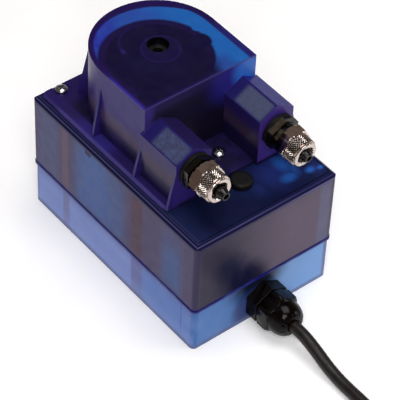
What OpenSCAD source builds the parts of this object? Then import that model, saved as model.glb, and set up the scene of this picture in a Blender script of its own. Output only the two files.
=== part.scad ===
// Peristaltic dosing pump: a two-shell case with a clip-on lid and a D-shaped pump head on top.
// +X is the width, +Y runs from the front to the back, +Z is up, and the origin is at the centre
// of the case's underside. All sizes are in millimetres.

/* [Case] */
// Width of the case
case_w = 80; // [79:0.5:82]
// Length of the case from front to back
case_l = 122; // [121:0.5:126]
// Height of the base shell
base_h = 25.7; // [25:0.1:26.5]
// Height of the closed case, with its lid
case_h = 66; // [66:0.1:66.4]
// Radius of the case's upright corners
corner_r = 2.5; // [2:0.5:3]
// Thickness of the shells' walls
wall_t = 2; // [1.6:0.1:2.2]

/* [Pump head] */
// Outer radius of the round back of the head
head_r = 31; // [31:0.1:31.5]
// Distance of the rotor's axis behind the middle of the case
rotor_y = 19.7; // [19:0.1:20]
// Height of the head's top face
head_top = 105; // [105:0.1:106]
// Distance of each hose socket from the middle
socket_x = 23.1; // [22.8:0.1:23.4]
// Height of the hose's centre line
hose_z = 86; // [86:0.1:86.2]
// Inner radius of the raceway that the hose is rolled against
race_r = 28.55; // [28.55:0.01:28.6]

/* [Rotor] */
// Radius of a roller
roller_r = 5.45; // [5.3:0.01:5.45]
// Distance of the rollers from the rotor's axis
roller_orbit = 19.5; // [19.3:0.1:19.5]
// Number of rollers
roller_count = 3; // [3]

/* [Hose ports] */
// Outer radius of the hose
hose_r = 4; // [3.8:0.1:4]
// Width across the flats of a knurled hose nut
nut_af = 15; // [14:0.5:15]
// Length of a knurled hose nut
nut_l = 11.9; // [11.9:0.1:12.5]
// Downward tilt of the right-hand port, in degrees
right_tilt = 4.3; // [0:0.1:4.5]

/* [Cable gland] */
// Width across the flats of the gland's hexagons
gland_af = 18; // [17:0.5:18]
// Height of the gland's axis
gland_z = 10.6; // [10.6:0.1:11]

/* [Mounting] */
// Distance between the fixing holes across the case
fix_x = 50; // [46:1:52]
// Distance between the fixing holes along the case
fix_y = 100; // [90:1:102]
// Radius of a fixing hole
fix_r = 2.25; // [2:0.05:2.5]

/* [Hidden] */
$fn = 64;
eps = 0.01;

// Case
rim_h = 1.2;                 // band round the top of the base shell
rim_out = 0.35;              // how far that band stands proud
base_inset = 0.4;            // how far the base shell's sides stand back below it
floor_t = 2.2;
lid_t = 3;
lid_z = case_h - lid_t;
lip_t = 1.2;
fit_gap = 0.15;              // play between parts that are pushed together
post_x = case_w / 2 - 6;
post_y = case_l / 2 - 6;
post_r = 4;
post_top = 40;
screw_r = 1.45;
screw_hole_r = 1.5;
tab_y = 18;                  // snap tabs on the lid's long sides
tab_w = 4;
wall_ribs = [38, 33, -14.6, -22.7, -51.5];   // stiffening ribs inside the upper shell's long walls

// Pump head
head_front = -11.4;
head_wall = head_r - race_r;
head_roof_t = 2.5;
roof_z = head_top - head_roof_t;
flange_top = case_h + 1.8;
flange_w = 74;
flange_front = -34.2;
flange_back = 58;
socket_front = -36.2;
socket_half = 9.7;
socket_shoulder = 91.6;
socket_apex = 97.2;
socket_bore_r = 6.2;
socket_wall = 3;
hub_hole_r = 5;
hub_boss_r = 9.5;
hub_boss_bottom = 97.5;
head_screw_spots = [[-28.1, 54.5], [28.1, 54.5], [4, -21]];
screw_head_r = 3;
screw_recess_r = 4.4;
// Gusset ribs on each side of the head: place along Y, foot of the wall, foot of the rib, apex
gussets = [[-36.2, 31.5, 37, 88.6], [-11.4, 30, 36.4, 90.5], [20.1, 30, 35.4, 94.3]];
gusset_t = 1.4;
// Two more stand on the round back: their angle from the X axis, foot and apex
back_gusset_angle = 53;
back_gusset_foot = 37.2;
back_gusset_apex = 98;

// Rotor
disc_r = 23.5;
carrier_z = 78;
roller_z = 80.4;
roller_h = 11.2;
cap_z = 92;
cap_t = 2.5;
pin_r = 1.5;
shaft_r = 2.5;
run_gap = 0.06;              // radial play of everything that turns

// Hose
hose_wall = 1.6;
hose_clear = 25.2;           // the squeezed hose stays outside this radius about the rotor's axis
hose_mid_r = hose_clear + hose_wall;
arc_step = 8;

// Hose ports, measured forwards from the face of the socket
ring_t = 2;
ring_r = 8.3;
port_hex_af = 15;
port_hex_end = 5.2;
thread_r = 5.9;
thread_end = 16;
spigot_r = 3;
spigot_tip_r = 2.1;
spigot_end = 22.3;
port_bore_r = 1.4;
shank_r = 5.3;
shank_l = 4;
barb_r = 2.35;
barb_l = 14;
left_nut_at = 6.1;
right_nut_at = 8;
right_port_z = 84.2;
nut_hex_l = 5.5;
nut_ring_l = 1.3;
nut_knurl_r = 6.9;
nut_ring_r = 6.25;
nut_hole_r = 4.2;

// Gear train: motor pinion - idler wheel and idler pinion - output wheel, all of one module
gear_m = 0.7;
pinion_n = 12;
wheel_n = 36;
gear_axes = gear_m * (pinion_n + wheel_n) / 2;
idler_y = rotor_y + gear_axes;
gearbox_bottom = 44;
gearbox_top = 61;
gearbox_r = 16;
wheel_low = 48.4;
wheel_high = 54.6;
wheel_t = 4.4;

// Motor
can_r = 17.5;
can_bottom = 10;
motor_shaft_r = 1.15;

// Circuit board
board_z = 36;
board_t = 1.6;
board_top = board_z + board_t;
board_holes = [[-29, -46], [29, -46], [-29, -10], [29, -10]];
trim_x = 1;
trim_y = -40.5;
plug_hole_r = 4.1;

// Gland
gland_y = -case_l / 2;
gland_thread_r = 7.6;
gland_bore_r = 4.2;
cap_thread_r = 6.9;
gland_hex_l = 6.3;
cap_at = 6.5;
cap_hex_l = 8;
cap_l = 22.6;
cap_hole_r = 3.3;

// Cord: 1.5 m of 6 mm round flex. The route runs down to the floor and to the coil's outer turn.
cord_r = 3;
cord_points = [[0, -78, 10.6], [0, -85, 10.6], [0, -92, 10], [0, -99, 8], [0, -106, 5.4],
    [0, -113, 3.7], [0, -120, 3.1], [0, -130, 3.1], [0, -144, 3.1], [0, -158, 3.1], [0, -172, 3.1]];
turn_pitch = 6.2;
coil_out_r = 39.2;
coil_in_r = 26;
coil_layers = 3;
coil_x = -coil_out_r;
coil_y = -172;
cord_end_turn = 6.82;        // turns round the coil at which the sheath ends, on the top layer
cord_end_r = 27;
cord_end_z = 15.5;
core_r = 1.2;
core_l = 12;
core_spread = 4;
core_rest_z = 13.6;          // height at which the bared cores lie on the turns below them
ferrule_l = 8;

// ---- Helpers ----

function unit(v) = v / norm(v);

// A plate with round upright corners, centred on Z
module rounded_plate(w, l, h, r) {
    linear_extrude(h) {
        square([w - 2 * r, l], center = true);
        square([w, l - 2 * r], center = true);
        for (x = [-1, 1], y = [-1, 1])
            translate([x * (w / 2 - r), y * (l / 2 - r)]) circle(r);
    }
}

// A cylinder from point a to point b
module rod(a, b, r) {
    v = b - a;
    translate(a) rotate([0, acos(v.z / norm(v)), atan2(v.y, v.x)]) cylinder(h = norm(v), r = r);
}

// A disc along Y, from y0 forwards (towards -Y) for a length
module disc_y(y0, length, r1, r2 = undef) {
    translate([0, y0, 0]) rotate([90, 0, 0]) cylinder(h = length, r1 = r1, r2 = is_undef(r2) ? r1 : r2);
}

// A hexagonal prism along -Y; turn = 0 has a corner at the top
module hex_y(y0, length, af, turn = 0) {
    translate([0, y0, 0]) rotate([90, 0, 0]) rotate([0, 0, 30 + turn])
        cylinder(h = length, r = af / 2 / cos(30), $fn = 6);
}

// A pan-head screw that points down from z = 0, with a cross slot
module pan_screw(length, head_r = 3, head_h = 2.2, r = screw_r) {
    difference() {
        union() {
            translate([0, 0, -length]) cylinder(h = length + eps, r = r, $fn = 32);
            intersection() {
                cylinder(h = head_h, r = head_r);
                translate([0, 0, head_h - 5.2]) sphere(5.2);
            }
        }
        for (a = [0, 90]) rotate([0, 0, a])
            translate([-head_r * 0.6, -0.4, head_h - 1.1]) cube([head_r * 1.2, 0.8, 2]);
    }
}

// Sideways and upward directions of a route at point i
function along(path, i) = unit(path[min(i + 1, len(path) - 1)] - path[max(i - 1, 0)]);
function side_of(path, i) = unit(cross(along(path, i), [0, 0, 1]));
function up_of(path, i) = cross(side_of(path, i), along(path, i));

// Elliptical rings round a route: a is the half width sideways, b the half height
function rings(path, a, b, sides) = [
    for (i = [0 : len(path) - 1], k = [0 : sides - 1])
        path[i] + side_of(path, i) * a[i] * cos(360 * k / sides)
            + up_of(path, i) * b[i] * sin(360 * k / sides)];

// Two triangles for each patch between neighbouring rings; flip turns them inside out
function skin(count, sides, first = 0, flip = false) = [
    for (i = [0 : count - 2], k = [0 : sides - 1], half = [0, 1])
        let (p = first + i * sides + k, q = first + i * sides + (k + 1) % sides)
        let (tri = half == 0 ? [p, p + sides, q] : [q, p + sides, q + sides])
        flip ? [tri[2], tri[1], tri[0]] : tri];

// A solid round tube along a route
module cord_tube(path, r, sides) {
    n = len(path);
    same = [for (i = [0 : n - 1]) r];
    polyhedron(points = rings(path, same, same, sides),
        faces = concat(skin(n, sides), [[for (k = [0 : sides - 1]) k]],
            [[for (k = [sides - 1 : -1 : 0]) (n - 1) * sides + k]]));
}

// Involute spur gear, with its first tooth centred on +X
function involute(x) = tan(x) * 180 / PI - x;
function tooth_half(n, r) =
    let (pitch_r = gear_m * n / 2, base_r = pitch_r * cos(20), slack = 0.90)
    90 / n * slack + involute(20) - (r > base_r ? involute(acos(base_r / r)) : 0);
module gear_profile(n) {
    pitch_r = gear_m * n / 2;
    root_r = pitch_r - 1.2 * gear_m;
    tip_r = pitch_r + 0.8 * gear_m;
    radii = [root_r, max(root_r + 0.1, pitch_r * cos(20)), pitch_r, (pitch_r + tip_r) / 2, tip_r];
    polygon([for (t = [0 : n - 1]) each concat(
        [for (r = radii) let (a = 360 * t / n - tooth_half(n, r)) r * [cos(a), sin(a)]],
        [for (i = [4 : -1 : 0])
            let (r = radii[i], a = 360 * t / n + tooth_half(n, r)) r * [cos(a), sin(a)]])]);
}
module gear(n, h, bore_r) {
    linear_extrude(h) difference() {
        gear_profile(n);
        circle(bore_r);
    }
}

// ---- Case ----

module case_screw_spots() {
    for (x = [-post_x, post_x], y = [-post_y, post_y]) translate([x, y, 0]) children();
}

module base_shell() color([0.45, 0.60, 0.90]) {
    difference() {
        union() {
            difference() {
                union() {
                    rounded_plate(case_w - 2 * base_inset, case_l - 2 * base_inset, base_h, corner_r);
                    translate([0, 0, base_h - rim_h])
                        rounded_plate(case_w + 2 * rim_out, case_l + 2 * rim_out, rim_h, corner_r + rim_out);
                }
                translate([0, 0, floor_t])
                    rounded_plate(case_w - 2 * wall_t, case_l - 2 * wall_t, base_h, corner_r - wall_t / 2);
            }
            case_screw_spots() cylinder(h = base_h - wall_t, r = post_r);
            // Thick ring behind the wall that the gland screws into
            intersection() {
                translate([0, 0, gland_z]) disc_y(gland_y + 6, 5, 10);
                translate([-15, gland_y, floor_t - eps]) cube([30, 20, base_h - floor_t - 3]);
            }
        }
        case_screw_spots() {
            translate([0, 0, -eps]) cylinder(h = 2.9, r = 3.3);
            cylinder(h = base_h, r = 1.7);
        }
        for (x = [-fix_x / 2, fix_x / 2], y = [-fix_y / 2, fix_y / 2])
            translate([x, y, -eps]) cylinder(h = floor_t + 1, r = fix_r);
        translate([0, 0, gland_z]) disc_y(gland_y + 7, 9, gland_thread_r + 0.05);
    }
}

module upper_shell() color([0.32, 0.36, 0.55]) {
    inner_w = case_w - 2 * wall_t;
    inner_l = case_l - 2 * wall_t;
    difference() {
        union() {
            difference() {
                translate([0, 0, base_h]) rounded_plate(case_w, case_l, lid_z - base_h, corner_r);
                translate([0, 0, base_h - eps])
                    rounded_plate(inner_w, inner_l, case_h, corner_r - wall_t / 2);
            }
            // Lip that drops inside the base shell
            difference() {
                translate([0, 0, base_h - 1.8])
                    rounded_plate(inner_w - 2 * fit_gap, inner_l - 2 * fit_gap, 2.8, corner_r - wall_t / 2);
                translate([0, 0, base_h - 2])
                    rounded_plate(inner_w - 2 * lip_t, inner_l - 2 * lip_t, 4, 2);
            }
            case_screw_spots() translate([0, 0, base_h - 1.9])
                cylinder(h = post_top - base_h + 1.9, r = post_r);
            for (s = [-1, 1], y = wall_ribs)
                translate([s * (inner_w / 2 - 0.6) - 1, y - 0.8, base_h + 2])
                    cube([2, 1.6, lid_z - base_h - 5]);
        }
        case_screw_spots() translate([0, 0, base_h - 3]) cylinder(h = post_top - base_h, r = screw_hole_r);
        // Notches for the lid's snap tabs
        for (s = [-1, 1])
            translate([s * case_w / 2 - 2, tab_y - tab_w / 2 - fit_gap, lid_z - 2.2])
                cube([4, tab_w + 2 * fit_gap, 4]);
    }
}

module lid() color([0.10, 0.10, 0.38]) {
    inner_w = case_w - 2 * wall_t - 2 * fit_gap;
    inner_l = case_l - 2 * wall_t - 2 * fit_gap;
    groove_in = 2.5;
    groove_w = 0.5;
    edge_w = 1.8 * sqrt(2);
    difference() {
        union() {
            translate([0, 0, lid_z]) rounded_plate(case_w, case_l, lid_t, corner_r);
            difference() {
                translate([0, 0, lid_z - 2]) rounded_plate(inner_w, inner_l, 2 + eps, corner_r - wall_t / 2);
                translate([0, 0, lid_z - 3]) rounded_plate(inner_w - 2 * lip_t, inner_l - 2 * lip_t, 3, 0.8);
            }
            for (s = [-1, 1])
                translate([s * (case_w / 2 - 0.65) - 0.65, tab_y - tab_w / 2, lid_z - 2])
                    cube([1.3, tab_w, 2 + eps]);
            for (p = head_screw_spots) translate([p.x, p.y, lid_z - 8]) cylinder(h = 8 + eps, r = 3.2);
            for (p = board_holes) translate([p.x, p.y, board_top])
                cylinder(h = lid_z - board_top + eps, r = 3);
            // Collar round the shaft, which keeps spilt liquid off it
            translate([0, rotor_y, case_h - eps]) cylinder(h = 2, r = 9.5);
        }
        translate([0, rotor_y, lid_z - 1]) cylinder(h = lid_t + 4, r = 7.5);
        translate([trim_x, trim_y, lid_z - 1]) cylinder(h = lid_t + 2, r = plug_hole_r);
        for (p = head_screw_spots) translate([p.x, p.y, lid_z - 6.5]) cylinder(h = 12, r = screw_hole_r);
        for (p = board_holes) translate([p.x, p.y, board_top - 1]) cylinder(h = 9, r = 1.3);
        gearbox_screw_spots() {
            translate([0, 0, lid_z - 1]) cylinder(h = 6, r = 1.7);
            translate([0, 0, case_h - 1.5]) cylinder(h = 3, r = 3);
        }
        // Shallow line round the edge
        difference() {
            translate([0, 0, case_h - 0.4])
                rounded_plate(case_w - 2 * groove_in, case_l - 2 * groove_in, 1, 1);
            translate([0, 0, case_h - 1])
                rounded_plate(case_w - 2 * (groove_in + groove_w),
                    case_l - 2 * (groove_in + groove_w), 2, 0.5);
        }
        // Sloped edge all round
        for (s = [-1, 1]) {
            translate([s * case_w / 2, 0, case_h]) rotate([0, 45, 0])
                cube([edge_w, case_l + 2, edge_w], center = true);
            translate([0, s * case_l / 2, case_h]) rotate([45, 0, 0])
                cube([case_w + 2, edge_w, edge_w], center = true);
        }
    }
}

// ---- Pump head ----

module d_plan(r, front) {
    translate([0, rotor_y]) circle(r);
    translate([-r, front]) square([2 * r, rotor_y - front]);
}

module socket_block(x) {
    translate([x, head_front + 1, 0]) rotate([90, 0, 0]) linear_extrude(head_front + 1 - socket_front)
        polygon([[-socket_half, case_h + 0.5], [socket_half, case_h + 0.5], [socket_half, socket_shoulder],
            [0, socket_apex], [-socket_half, socket_shoulder]]);
}

// Where each port's axis meets the face of its socket, with the axis along -Y there
module at_left_port() {
    translate([-socket_x, socket_front, hose_z]) children();
}
module at_right_port() {
    tilt_gap = ring_r * sin(right_tilt);
    translate([socket_x, socket_front - tilt_gap, right_port_z]) rotate([right_tilt, 0, 0]) children();
}

module socket_hollow(x) {
    // Bore for the hose, and an open pocket under it
    translate([x, 0, hose_z])
        disc_y(head_front + 4, head_front + 4 - socket_front - socket_wall, socket_bore_r);
    translate([x - socket_half + 2, socket_front + 2, case_h - 1])
        cube([2 * socket_half - 4, head_front - socket_front - 4, 12]);
}

module gusset(y, wall_x, foot_x, apex_z) {
    translate([0, y + gusset_t, 0]) rotate([90, 0, 0]) linear_extrude(gusset_t)
        polygon([[wall_x - 0.5, case_h + 0.5], [foot_x, flange_top - eps],
            [wall_x + 1, apex_z], [wall_x - 0.5, apex_z]]);
}

module back_gusset() {
    translate([0, rotor_y, 0]) rotate([0, 0, back_gusset_angle])
        gusset(-gusset_t / 2, head_r - 0.5, back_gusset_foot, back_gusset_apex);
}

module pump_head() color([0.17, 0.12, 0.48]) {
    difference() {
        union() {
            translate([0, (flange_front + flange_back) / 2, case_h])
                rounded_plate(flange_w, flange_back - flange_front, flange_top - case_h, 3);
            translate([0, 0, case_h]) linear_extrude(head_top - case_h) d_plan(head_r, head_front);
            for (x = [-socket_x, socket_x]) socket_block(x);
            for (g = gussets) {
                gusset(g[0], g[1], g[2], g[3]);
                mirror([1, 0, 0]) gusset(g[0], g[1], g[2], g[3]);
            }
            back_gusset();
            mirror([1, 0, 0]) back_gusset();
        }
        // The raceway's chamber, with the roof's bearing boss left standing
        difference() {
            translate([0, 0, case_h - 1]) linear_extrude(roof_z - case_h + 1)
                d_plan(race_r, head_front + head_wall);
            translate([0, rotor_y, hub_boss_bottom]) cylinder(h = 20, r = hub_boss_r);
        }
        translate([0, rotor_y, hub_boss_bottom - 1]) cylinder(h = 20, r = hub_hole_r);
        for (x = [-socket_x, socket_x]) socket_hollow(x);
        at_left_port() disc_y(5, 8, shank_r + 0.1);
        at_right_port() disc_y(5, 8, shank_r + 0.1);
        for (p = head_screw_spots) {
            translate([p.x, p.y, case_h - 1]) cylinder(h = 4, r = 1.6);
            translate([p.x, p.y, flange_top - 0.5]) cylinder(h = 3, r = screw_recess_r);
        }
    }
}

module head_screws() color([0.80, 0.80, 0.82]) {
    for (i = [0 : 2]) translate([head_screw_spots[i].x, head_screw_spots[i].y, flange_top - 0.5])
        rotate([0, 0, 25 + 40 * i]) pan_screw(10, screw_head_r);
}

module case_screws() color([0.70, 0.70, 0.72]) {
    case_screw_spots() translate([0, 0, 2.85]) mirror([0, 0, 1]) pan_screw(30, 2.8, 2);
}

// ---- Rotor and hose ----

module roller_spots(i) {
    translate([0, rotor_y, 0]) rotate([0, 0, 112 + 360 * i / roller_count])
        translate([roller_orbit, 0, 0]) children();
}

module rotor_carrier() color([0.25, 0.25, 0.28]) {
    difference() {
        translate([0, rotor_y, 0]) {
            translate([0, 0, carrier_z]) cylinder(h = 2, r = disc_r);
            translate([0, 0, 69]) cylinder(h = cap_z - 69, r = 6);
        }
        translate([0, rotor_y, 60]) cylinder(h = 50, r = shaft_r + 0.02);
        for (i = [0 : roller_count - 1]) roller_spots(i)
            translate([0, 0, carrier_z - 1]) cylinder(h = 4, r = pin_r + 0.02);
    }
}

module rotor_cap() color([0.12, 0.12, 0.16]) {
    difference() {
        translate([0, rotor_y, 0]) {
            translate([0, 0, cap_z + 0.02]) cylinder(h = cap_t, r = disc_r);
            translate([0, 0, cap_z + cap_t]) cylinder(h = 101 - cap_z - cap_t, r = hub_hole_r - run_gap);
        }
        translate([0, rotor_y, 60]) cylinder(h = 50, r = shaft_r + 0.02);
        for (i = [0 : roller_count - 1]) roller_spots(i)
            translate([0, 0, cap_z - 1]) cylinder(h = 3, r = pin_r + 0.02);
        // Windows between the rollers
        for (i = [0 : roller_count - 1])
            translate([0, rotor_y, cap_z - 1]) rotate([0, 0, 52 + 360 * i / roller_count])
                translate([15.5, 0, 0]) cylinder(h = 5, r = 4.2);
    }
}

module roller_pins() color([0.75, 0.75, 0.78]) {
    for (i = [0 : roller_count - 1]) roller_spots(i)
        translate([0, 0, carrier_z + 0.1]) cylinder(h = cap_z + 1.8 - carrier_z, r = pin_r);
}

module roller(i) color([0.90, 0.90, 0.86]) {
    roller_spots(i) translate([0, 0, roller_z]) difference() {
        cylinder(h = roller_h, r = roller_r);
        translate([0, 0, -1]) cylinder(h = roller_h + 2, r = pin_r + run_gap);
    }
}

// The hose runs up the right socket, round the back of the raceway and down the left one
right_leg = [[23.1, -31.4, 84.6], [23.1, -27, 84.9], [23.1, -22.2, 85.3], [23.1, -17, 85.7],
    [23.1, -12, 85.9], [23, -6, 86], [22.7, -1, 86], [23.2, 4, 86], [23.8, 7.2, 86]];
left_leg = [[-23.8, 7.2, 86], [-23.2, 4, 86], [-22.7, -1, 86], [-23, -6, 86], [-23.1, -12, 86],
    [-23.1, -22, 86], [-23.1, -31.5, 86]];
hose_path = concat(right_leg,
    [for (t = [-20 : arc_step : 204]) [hose_mid_r * cos(t), rotor_y + hose_mid_r * sin(t), hose_z]],
    left_leg);
function squeeze(p) = min(hose_r, norm([p.x, p.y - rotor_y]) - hose_clear);
hose_a = [for (p = hose_path) squeeze(p)];
hose_b = [for (a = hose_a) hose_r + (hose_r - a) * 0.55];
lumen_a = [for (a = hose_a) max(0.12, a - hose_wall)];
lumen_b = [for (b = hose_b) b - hose_wall];

module hose() color([0.08, 0.08, 0.09]) {
    sides = 16;
    n = len(hose_path);
    last = (n - 1) * sides;
    inner = n * sides;
    polyhedron(
        points = concat(rings(hose_path, hose_a, hose_b, sides), rings(hose_path, lumen_a, lumen_b, sides)),
        faces = concat(skin(n, sides), skin(n, sides, inner, true),
            [for (k = [0 : sides - 1], half = [0, 1]) let (j = (k + 1) % sides)
                half == 0 ? [k, j, inner + k] : [j, inner + j, inner + k]],
            [for (k = [0 : sides - 1], half = [0, 1]) let (j = (k + 1) % sides)
                half == 0 ? [last + j, last + k, inner + last + k]
                    : [inner + last + j, last + j, inner + last + k]]));
}

// ---- Hose ports ----

module port_body() {
    difference() {
        union() {
            disc_y(shank_l, shank_l, shank_r);
            disc_y(barb_l, barb_l, barb_r);
            disc_y(0, ring_t + eps, shank_r);
            hex_y(-ring_t, port_hex_end - ring_t, port_hex_af);
            disc_y(-port_hex_end + eps, thread_end - port_hex_end, thread_r);
            disc_y(-thread_end + eps, 3.5, spigot_r);
            disc_y(-thread_end - 3.5 + 2 * eps, spigot_end - thread_end - 3.5, spigot_r, spigot_tip_r);
        }
        disc_y(barb_l + 1, barb_l + spigot_end + 2, port_bore_r);
    }
}

module port_seal() {
    difference() {
        disc_y(-eps, ring_t - 2 * eps, ring_r);
        disc_y(1, ring_t + 2, shank_r + 0.05);
    }
}

// The nut starts at y = 0 and runs forwards
module hose_nut() {
    knurl_l = nut_l - nut_hex_l - nut_ring_l;
    difference() {
        union() {
            hex_y(0, nut_hex_l, nut_af, 30);
            disc_y(-nut_hex_l + eps, knurl_l, nut_knurl_r);
            disc_y(-nut_hex_l - knurl_l + 2 * eps, nut_ring_l, nut_ring_r);
        }
        disc_y(1, thread_end - left_nut_at + 1.4, thread_r + run_gap);
        disc_y(1, nut_l + 2, nut_hole_r);
    }
}

module hose_fitting_left() color([0.05, 0.05, 0.05]) at_left_port() port_body();
module hose_fitting_right() color([0.05, 0.05, 0.05]) at_right_port() port_body();
module seal_ring_left() color([0.03, 0.03, 0.03]) at_left_port() port_seal();
module seal_ring_right() color([0.03, 0.03, 0.03]) at_right_port() port_seal();
module knurled_nut_left() color([0.75, 0.70, 0.66])
    at_left_port() translate([0, -left_nut_at, 0]) hose_nut();
module knurled_nut_right() color([0.75, 0.70, 0.66])
    at_right_port() translate([0, -right_nut_at, 0]) hose_nut();

module blanking_plug() color([0.06, 0.06, 0.06]) {
    translate([trim_x, trim_y, case_h + 0.05]) {
        cylinder(h = 1.6, r = 5.3);
        translate([0, 0, 1.6 - eps]) cylinder(h = 1.3, r1 = 5.3, r2 = 4.2);
        translate([0, 0, -4]) cylinder(h = 4 + eps, r = plug_hole_r - run_gap);
    }
}

// ---- Gear train and motor ----

module output_shaft() color([0.78, 0.66, 0.35]) {
    translate([0, rotor_y, 54]) cylinder(h = 46, r = shaft_r);
}

module output_gear() color([0.88, 0.86, 0.78]) {
    translate([0, rotor_y, wheel_high]) difference() {
        union() {
            gear(wheel_n, wheel_t, shaft_r + 0.02);
            translate([0, 0, wheel_t - eps]) cylinder(h = 1.2, r = 5);
        }
        translate([0, 0, -1]) cylinder(h = 20, r = shaft_r + 0.02);
    }
}

// Idler: wheel below, pinion above. A half-pitch turn of one against the other sets the mesh.
module idler_gear() color([0.88, 0.86, 0.78]) {
    translate([0, idler_y, 0]) difference() {
        union() {
            translate([0, 0, wheel_low]) rotate([0, 0, -90 + 180 / wheel_n]) gear(wheel_n, wheel_t, 1);
            translate([0, 0, wheel_low + wheel_t - eps]) rotate([0, 0, -90 + 180 / pinion_n])
                gear(pinion_n, wheel_high - wheel_low, 1);
        }
        translate([0, 0, 40]) cylinder(h = 30, r = 1 + run_gap);
    }
}

module idler_axle() color([0.75, 0.75, 0.78]) {
    translate([0, idler_y, gearbox_bottom + 0.6]) cylinder(h = 16.6, r = 1);
}

module motor_pinion() color([0.78, 0.66, 0.35]) {
    translate([0, rotor_y, wheel_low - 0.4]) rotate([0, 0, 90])
        gear(pinion_n, wheel_t + 0.8, motor_shaft_r + 0.01);
}

module gearbox_plan(r) {
    translate([0, rotor_y]) circle(r);
    translate([0, idler_y]) circle(r);
    translate([-r, rotor_y]) square([2 * r, gear_axes]);
}

module gearbox_screw_spots() {
    for (p = [[-11.5, 7], [11.5, 7], [0, 53.6]]) translate([p.x, p.y, 0]) children();
}

module gearbox_case() color([0.80, 0.80, 0.78]) {
    difference() {
        union() {
            translate([0, 0, gearbox_bottom])
                linear_extrude(gearbox_top - gearbox_bottom) gearbox_plan(gearbox_r);
            gearbox_screw_spots() translate([0, 0, gearbox_top - 6]) cylinder(h = 6, r = 2.9);
        }
        translate([0, 0, gearbox_bottom + 2]) linear_extrude(30) gearbox_plan(gearbox_r - 1.6);
        translate([0, rotor_y, 40]) cylinder(h = 10, r = motor_shaft_r + run_gap);
        translate([0, idler_y, gearbox_bottom + 0.5]) cylinder(h = 5, r = 1.02);
        gearbox_screw_spots() translate([0, 0, gearbox_top - 5]) cylinder(h = 7, r = screw_hole_r);
    }
}

module gearbox_cover() color([0.70, 0.70, 0.68]) {
    difference() {
        union() {
            translate([0, 0, gearbox_top + 0.02])
                linear_extrude(lid_z - gearbox_top - 0.04) gearbox_plan(gearbox_r);
            gearbox_screw_spots() translate([0, 0, gearbox_top + 0.02])
                cylinder(h = lid_z - gearbox_top - 0.04, r = 2.9);
        }
        translate([0, rotor_y, 50]) cylinder(h = 20, r = shaft_r + run_gap);
        translate([0, idler_y, 50]) cylinder(h = 11.5, r = 1.02);
        gearbox_screw_spots() translate([0, 0, 50]) cylinder(h = 20, r = 1.7);
    }
}

module gearbox_screws() color([0.70, 0.70, 0.72]) {
    gearbox_screw_spots() translate([0, 0, case_h - 1.5]) pan_screw(8, 2.7, 1.4);
}

module motor_can() color([0.72, 0.72, 0.74]) {
    top = gearbox_bottom - 0.02;
    translate([0, rotor_y, 0]) difference() {
        translate([0, 0, can_bottom]) cylinder(h = top - can_bottom, r = can_r);
        translate([0, 0, can_bottom - 1]) cylinder(h = top - can_bottom - 0.5, r = can_r - 1.2);
        cylinder(h = 60, r = 3);
    }
}

module motor_magnets() color([0.20, 0.20, 0.22]) {
    translate([0, rotor_y, 16]) for (s = [0, 180]) rotate([0, 0, s]) intersection() {
        difference() {
            cylinder(h = 22, r = can_r - 1.25);
            translate([0, 0, -1]) cylinder(h = 24, r = 13.2);
        }
        translate([0, -11, -1]) cube([20, 22, 24]);
    }
}

module motor_end_cap() color([0.12, 0.12, 0.13]) {
    translate([0, rotor_y, 0]) difference() {
        union() {
            translate([0, 0, 7.5]) cylinder(h = can_bottom - 7.5 - 0.02, r = can_r);
            translate([0, 0, can_bottom - 0.1]) cylinder(h = 2, r = can_r - 1.3);
        }
        cylinder(h = 20, r = motor_shaft_r + run_gap);
        translate([0, 0, can_bottom - 0.5]) cylinder(h = 4, r = 9);
    }
}

module armature() color([0.70, 0.40, 0.20]) {
    core_z = 18;
    core_h = 18;
    translate([0, rotor_y, 0]) difference() {
        union() {
            translate([0, 0, core_z]) linear_extrude(core_h) {
                circle(4);
                for (i = [0 : 4]) rotate(72 * i) translate([2, -1.5]) square([9, 3]);
                // Pole shoes: a ring with five slots
                difference() {
                    circle(12.7);
                    circle(10.5);
                    for (i = [0 : 4]) rotate(72 * i + 36) translate([8, -1.2]) square([6, 2.4]);
                }
            }
            // Windings
            for (i = [0 : 4]) rotate([0, 0, 72 * i]) translate([4.9, -2.7, core_z - 1.6])
                cube([4.6, 5.4, core_h + 3.2]);
        }
        cylinder(h = 60, r = motor_shaft_r + 0.01);
    }
}

module motor_shaft() color([0.75, 0.75, 0.78]) {
    translate([0, rotor_y, 8]) cylinder(h = wheel_low + wheel_t + 0.2 - 8, r = motor_shaft_r);
}

module commutator() color([0.80, 0.50, 0.30]) {
    translate([0, rotor_y, 12.2]) difference() {
        cylinder(h = 4, r = 3.6);
        translate([0, 0, -1]) cylinder(h = 8, r = motor_shaft_r + 0.01);
        for (i = [0 : 4]) rotate([0, 0, 72 * i + 36]) translate([3, -0.2, -1]) cube([2, 0.4, 8]);
    }
}

// ---- Circuit board ----

module circuit_board() color([0.10, 0.35, 0.18]) {
    difference() {
        translate([-32, -50, board_z]) cube([64, 45, board_t]);
        for (p = board_holes) translate([p.x, p.y, board_z - 1]) cylinder(h = 4, r = 1.4);
    }
}

module board_screws() color([0.70, 0.70, 0.72]) {
    for (p = board_holes) translate([p.x, p.y, board_z - 0.02]) mirror([0, 0, 1])
        pan_screw(8, 2.4, 1.6, 1.25);
}

module transformer() color([0.35, 0.33, 0.32]) {
    translate([-17, -25, board_top + 0.02]) {
        difference() {
            translate([-12, -7, 0]) cube([24, 14, 19]);
            for (x = [-8.5, 3.5]) translate([x, -8, 4]) cube([5, 16, 11]);
        }
        // Winding round the middle limb
        translate([-8, -10, 4.3]) cube([16, 20, 10.4]);
    }
}

module relay() color([0.10, 0.30, 0.65]) {
    translate([9, -22, board_top + 0.02]) cube([15, 10.5, 12]);
}

module capacitor() color([0.10, 0.12, 0.30]) {
    translate([20, -31, board_top + 0.02]) cylinder(h = 15, r = 5);
    translate([8, -31, board_top + 0.02]) cylinder(h = 11, r = 3.2);
}

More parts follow.
